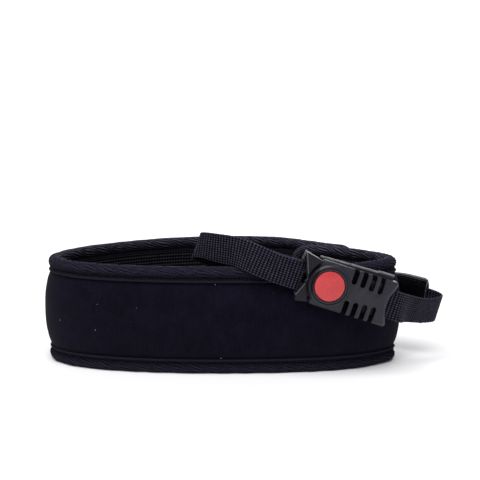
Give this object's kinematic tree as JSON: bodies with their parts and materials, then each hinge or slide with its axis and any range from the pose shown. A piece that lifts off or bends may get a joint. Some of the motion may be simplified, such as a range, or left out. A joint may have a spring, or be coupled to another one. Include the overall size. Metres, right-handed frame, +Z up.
{
  "type": "camera neck strap",
  "caption": "Padded camera neck strap rolled into a loop on its long edge, its two webbing ends buckled in front.",
  "frame": {"origin": "middle of the footprint box, on the floor that the pad's long edge stands on", "axes": "+Z up, +X along the rolled pad's long way, -Y the front with the buckle"},
  "size_m": [0.2648, 0.1312, 0.091],
  "materials": {
    "pad": "neoprene with a knitted face",
    "lining": "matte, dotted against slipping",
    "tape": "woven tape",
    "tab": "smooth coated",
    "webbing": "ribbed webbing",
    "plastic": "satin moulded",
    "red": "gloss"
  },
  "bodies": {
    "root": {"pad_core": "pad", "pad_lining": "lining", "edge_binding": "tape", "end_tab_a": "tab", "end_tab_b": "tab", "strap_a": "webbing", "strap_b": "webbing", "buckle_female": "plastic", "buckle_male": "plastic", "emblem_disc": "red"}
  },
  "joints": []
}
